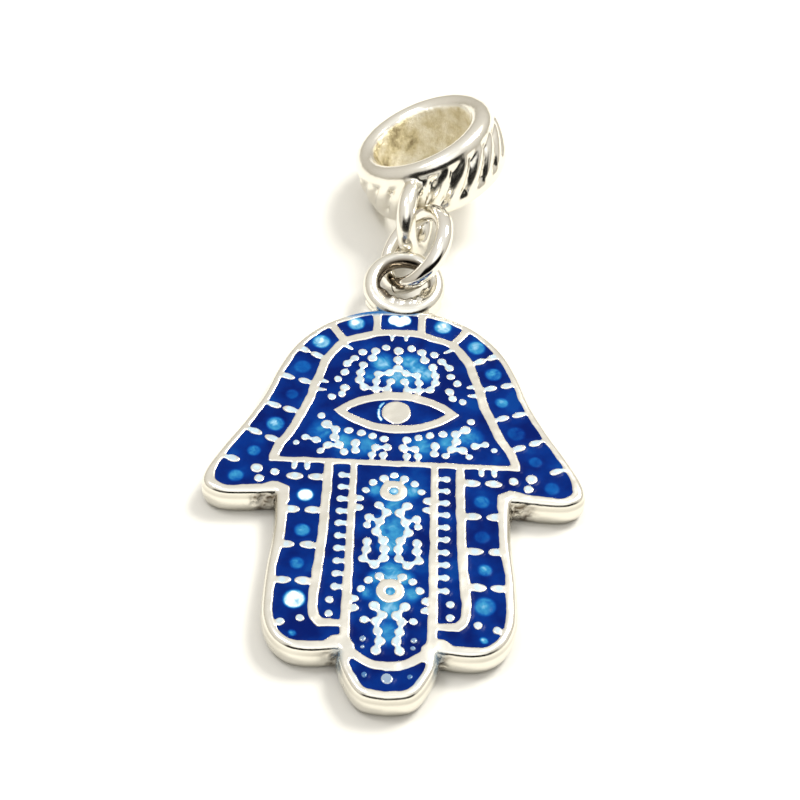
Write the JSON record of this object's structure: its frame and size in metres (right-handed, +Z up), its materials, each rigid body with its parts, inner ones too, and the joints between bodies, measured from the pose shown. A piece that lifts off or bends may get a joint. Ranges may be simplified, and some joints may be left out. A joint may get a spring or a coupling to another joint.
{
  "type": "hamsa pendant on a carrier bead",
  "caption": "Flat cast hand pendant with an eye and dot relief in dark blue enamel, linked by a jump ring to a ribbed bead with a through bore.",
  "frame": {"origin": "on the hand's flat back, straight below the middle of the eye", "axes": "+X to the hand's right as seen, +Y from the eye to the loop and the bead, +Z up from the surface that the pendant lies on"},
  "size_m": [0.0162, 0.0343, 0.0056],
  "materials": {
    "plated_casting": "bright plated casting with softly rounded relief",
    "blue_enamel": "glossy cobalt enamel, lighter where it runs thin over metal",
    "plated_wire": "bright plated wire",
    "plated_bead": "bright plated casting, tarnished yellow brown in the bore"
  },
  "bodies": {
    "root": {"hamsa_plate": "plated_casting", "enamel_crown": "blue_enamel", "enamel_band_left": "blue_enamel", "enamel_band_right": "blue_enamel", "enamel_palm": "blue_enamel", "enamel_eye": "blue_enamel", "enamel_strip_left": "blue_enamel", "enamel_strip_right": "blue_enamel", "enamel_middle_finger": "blue_enamel", "enamel_fingertip": "blue_enamel", "jump_ring": "plated_wire", "carrier_bead": "plated_bead"}
  },
  "joints": []
}
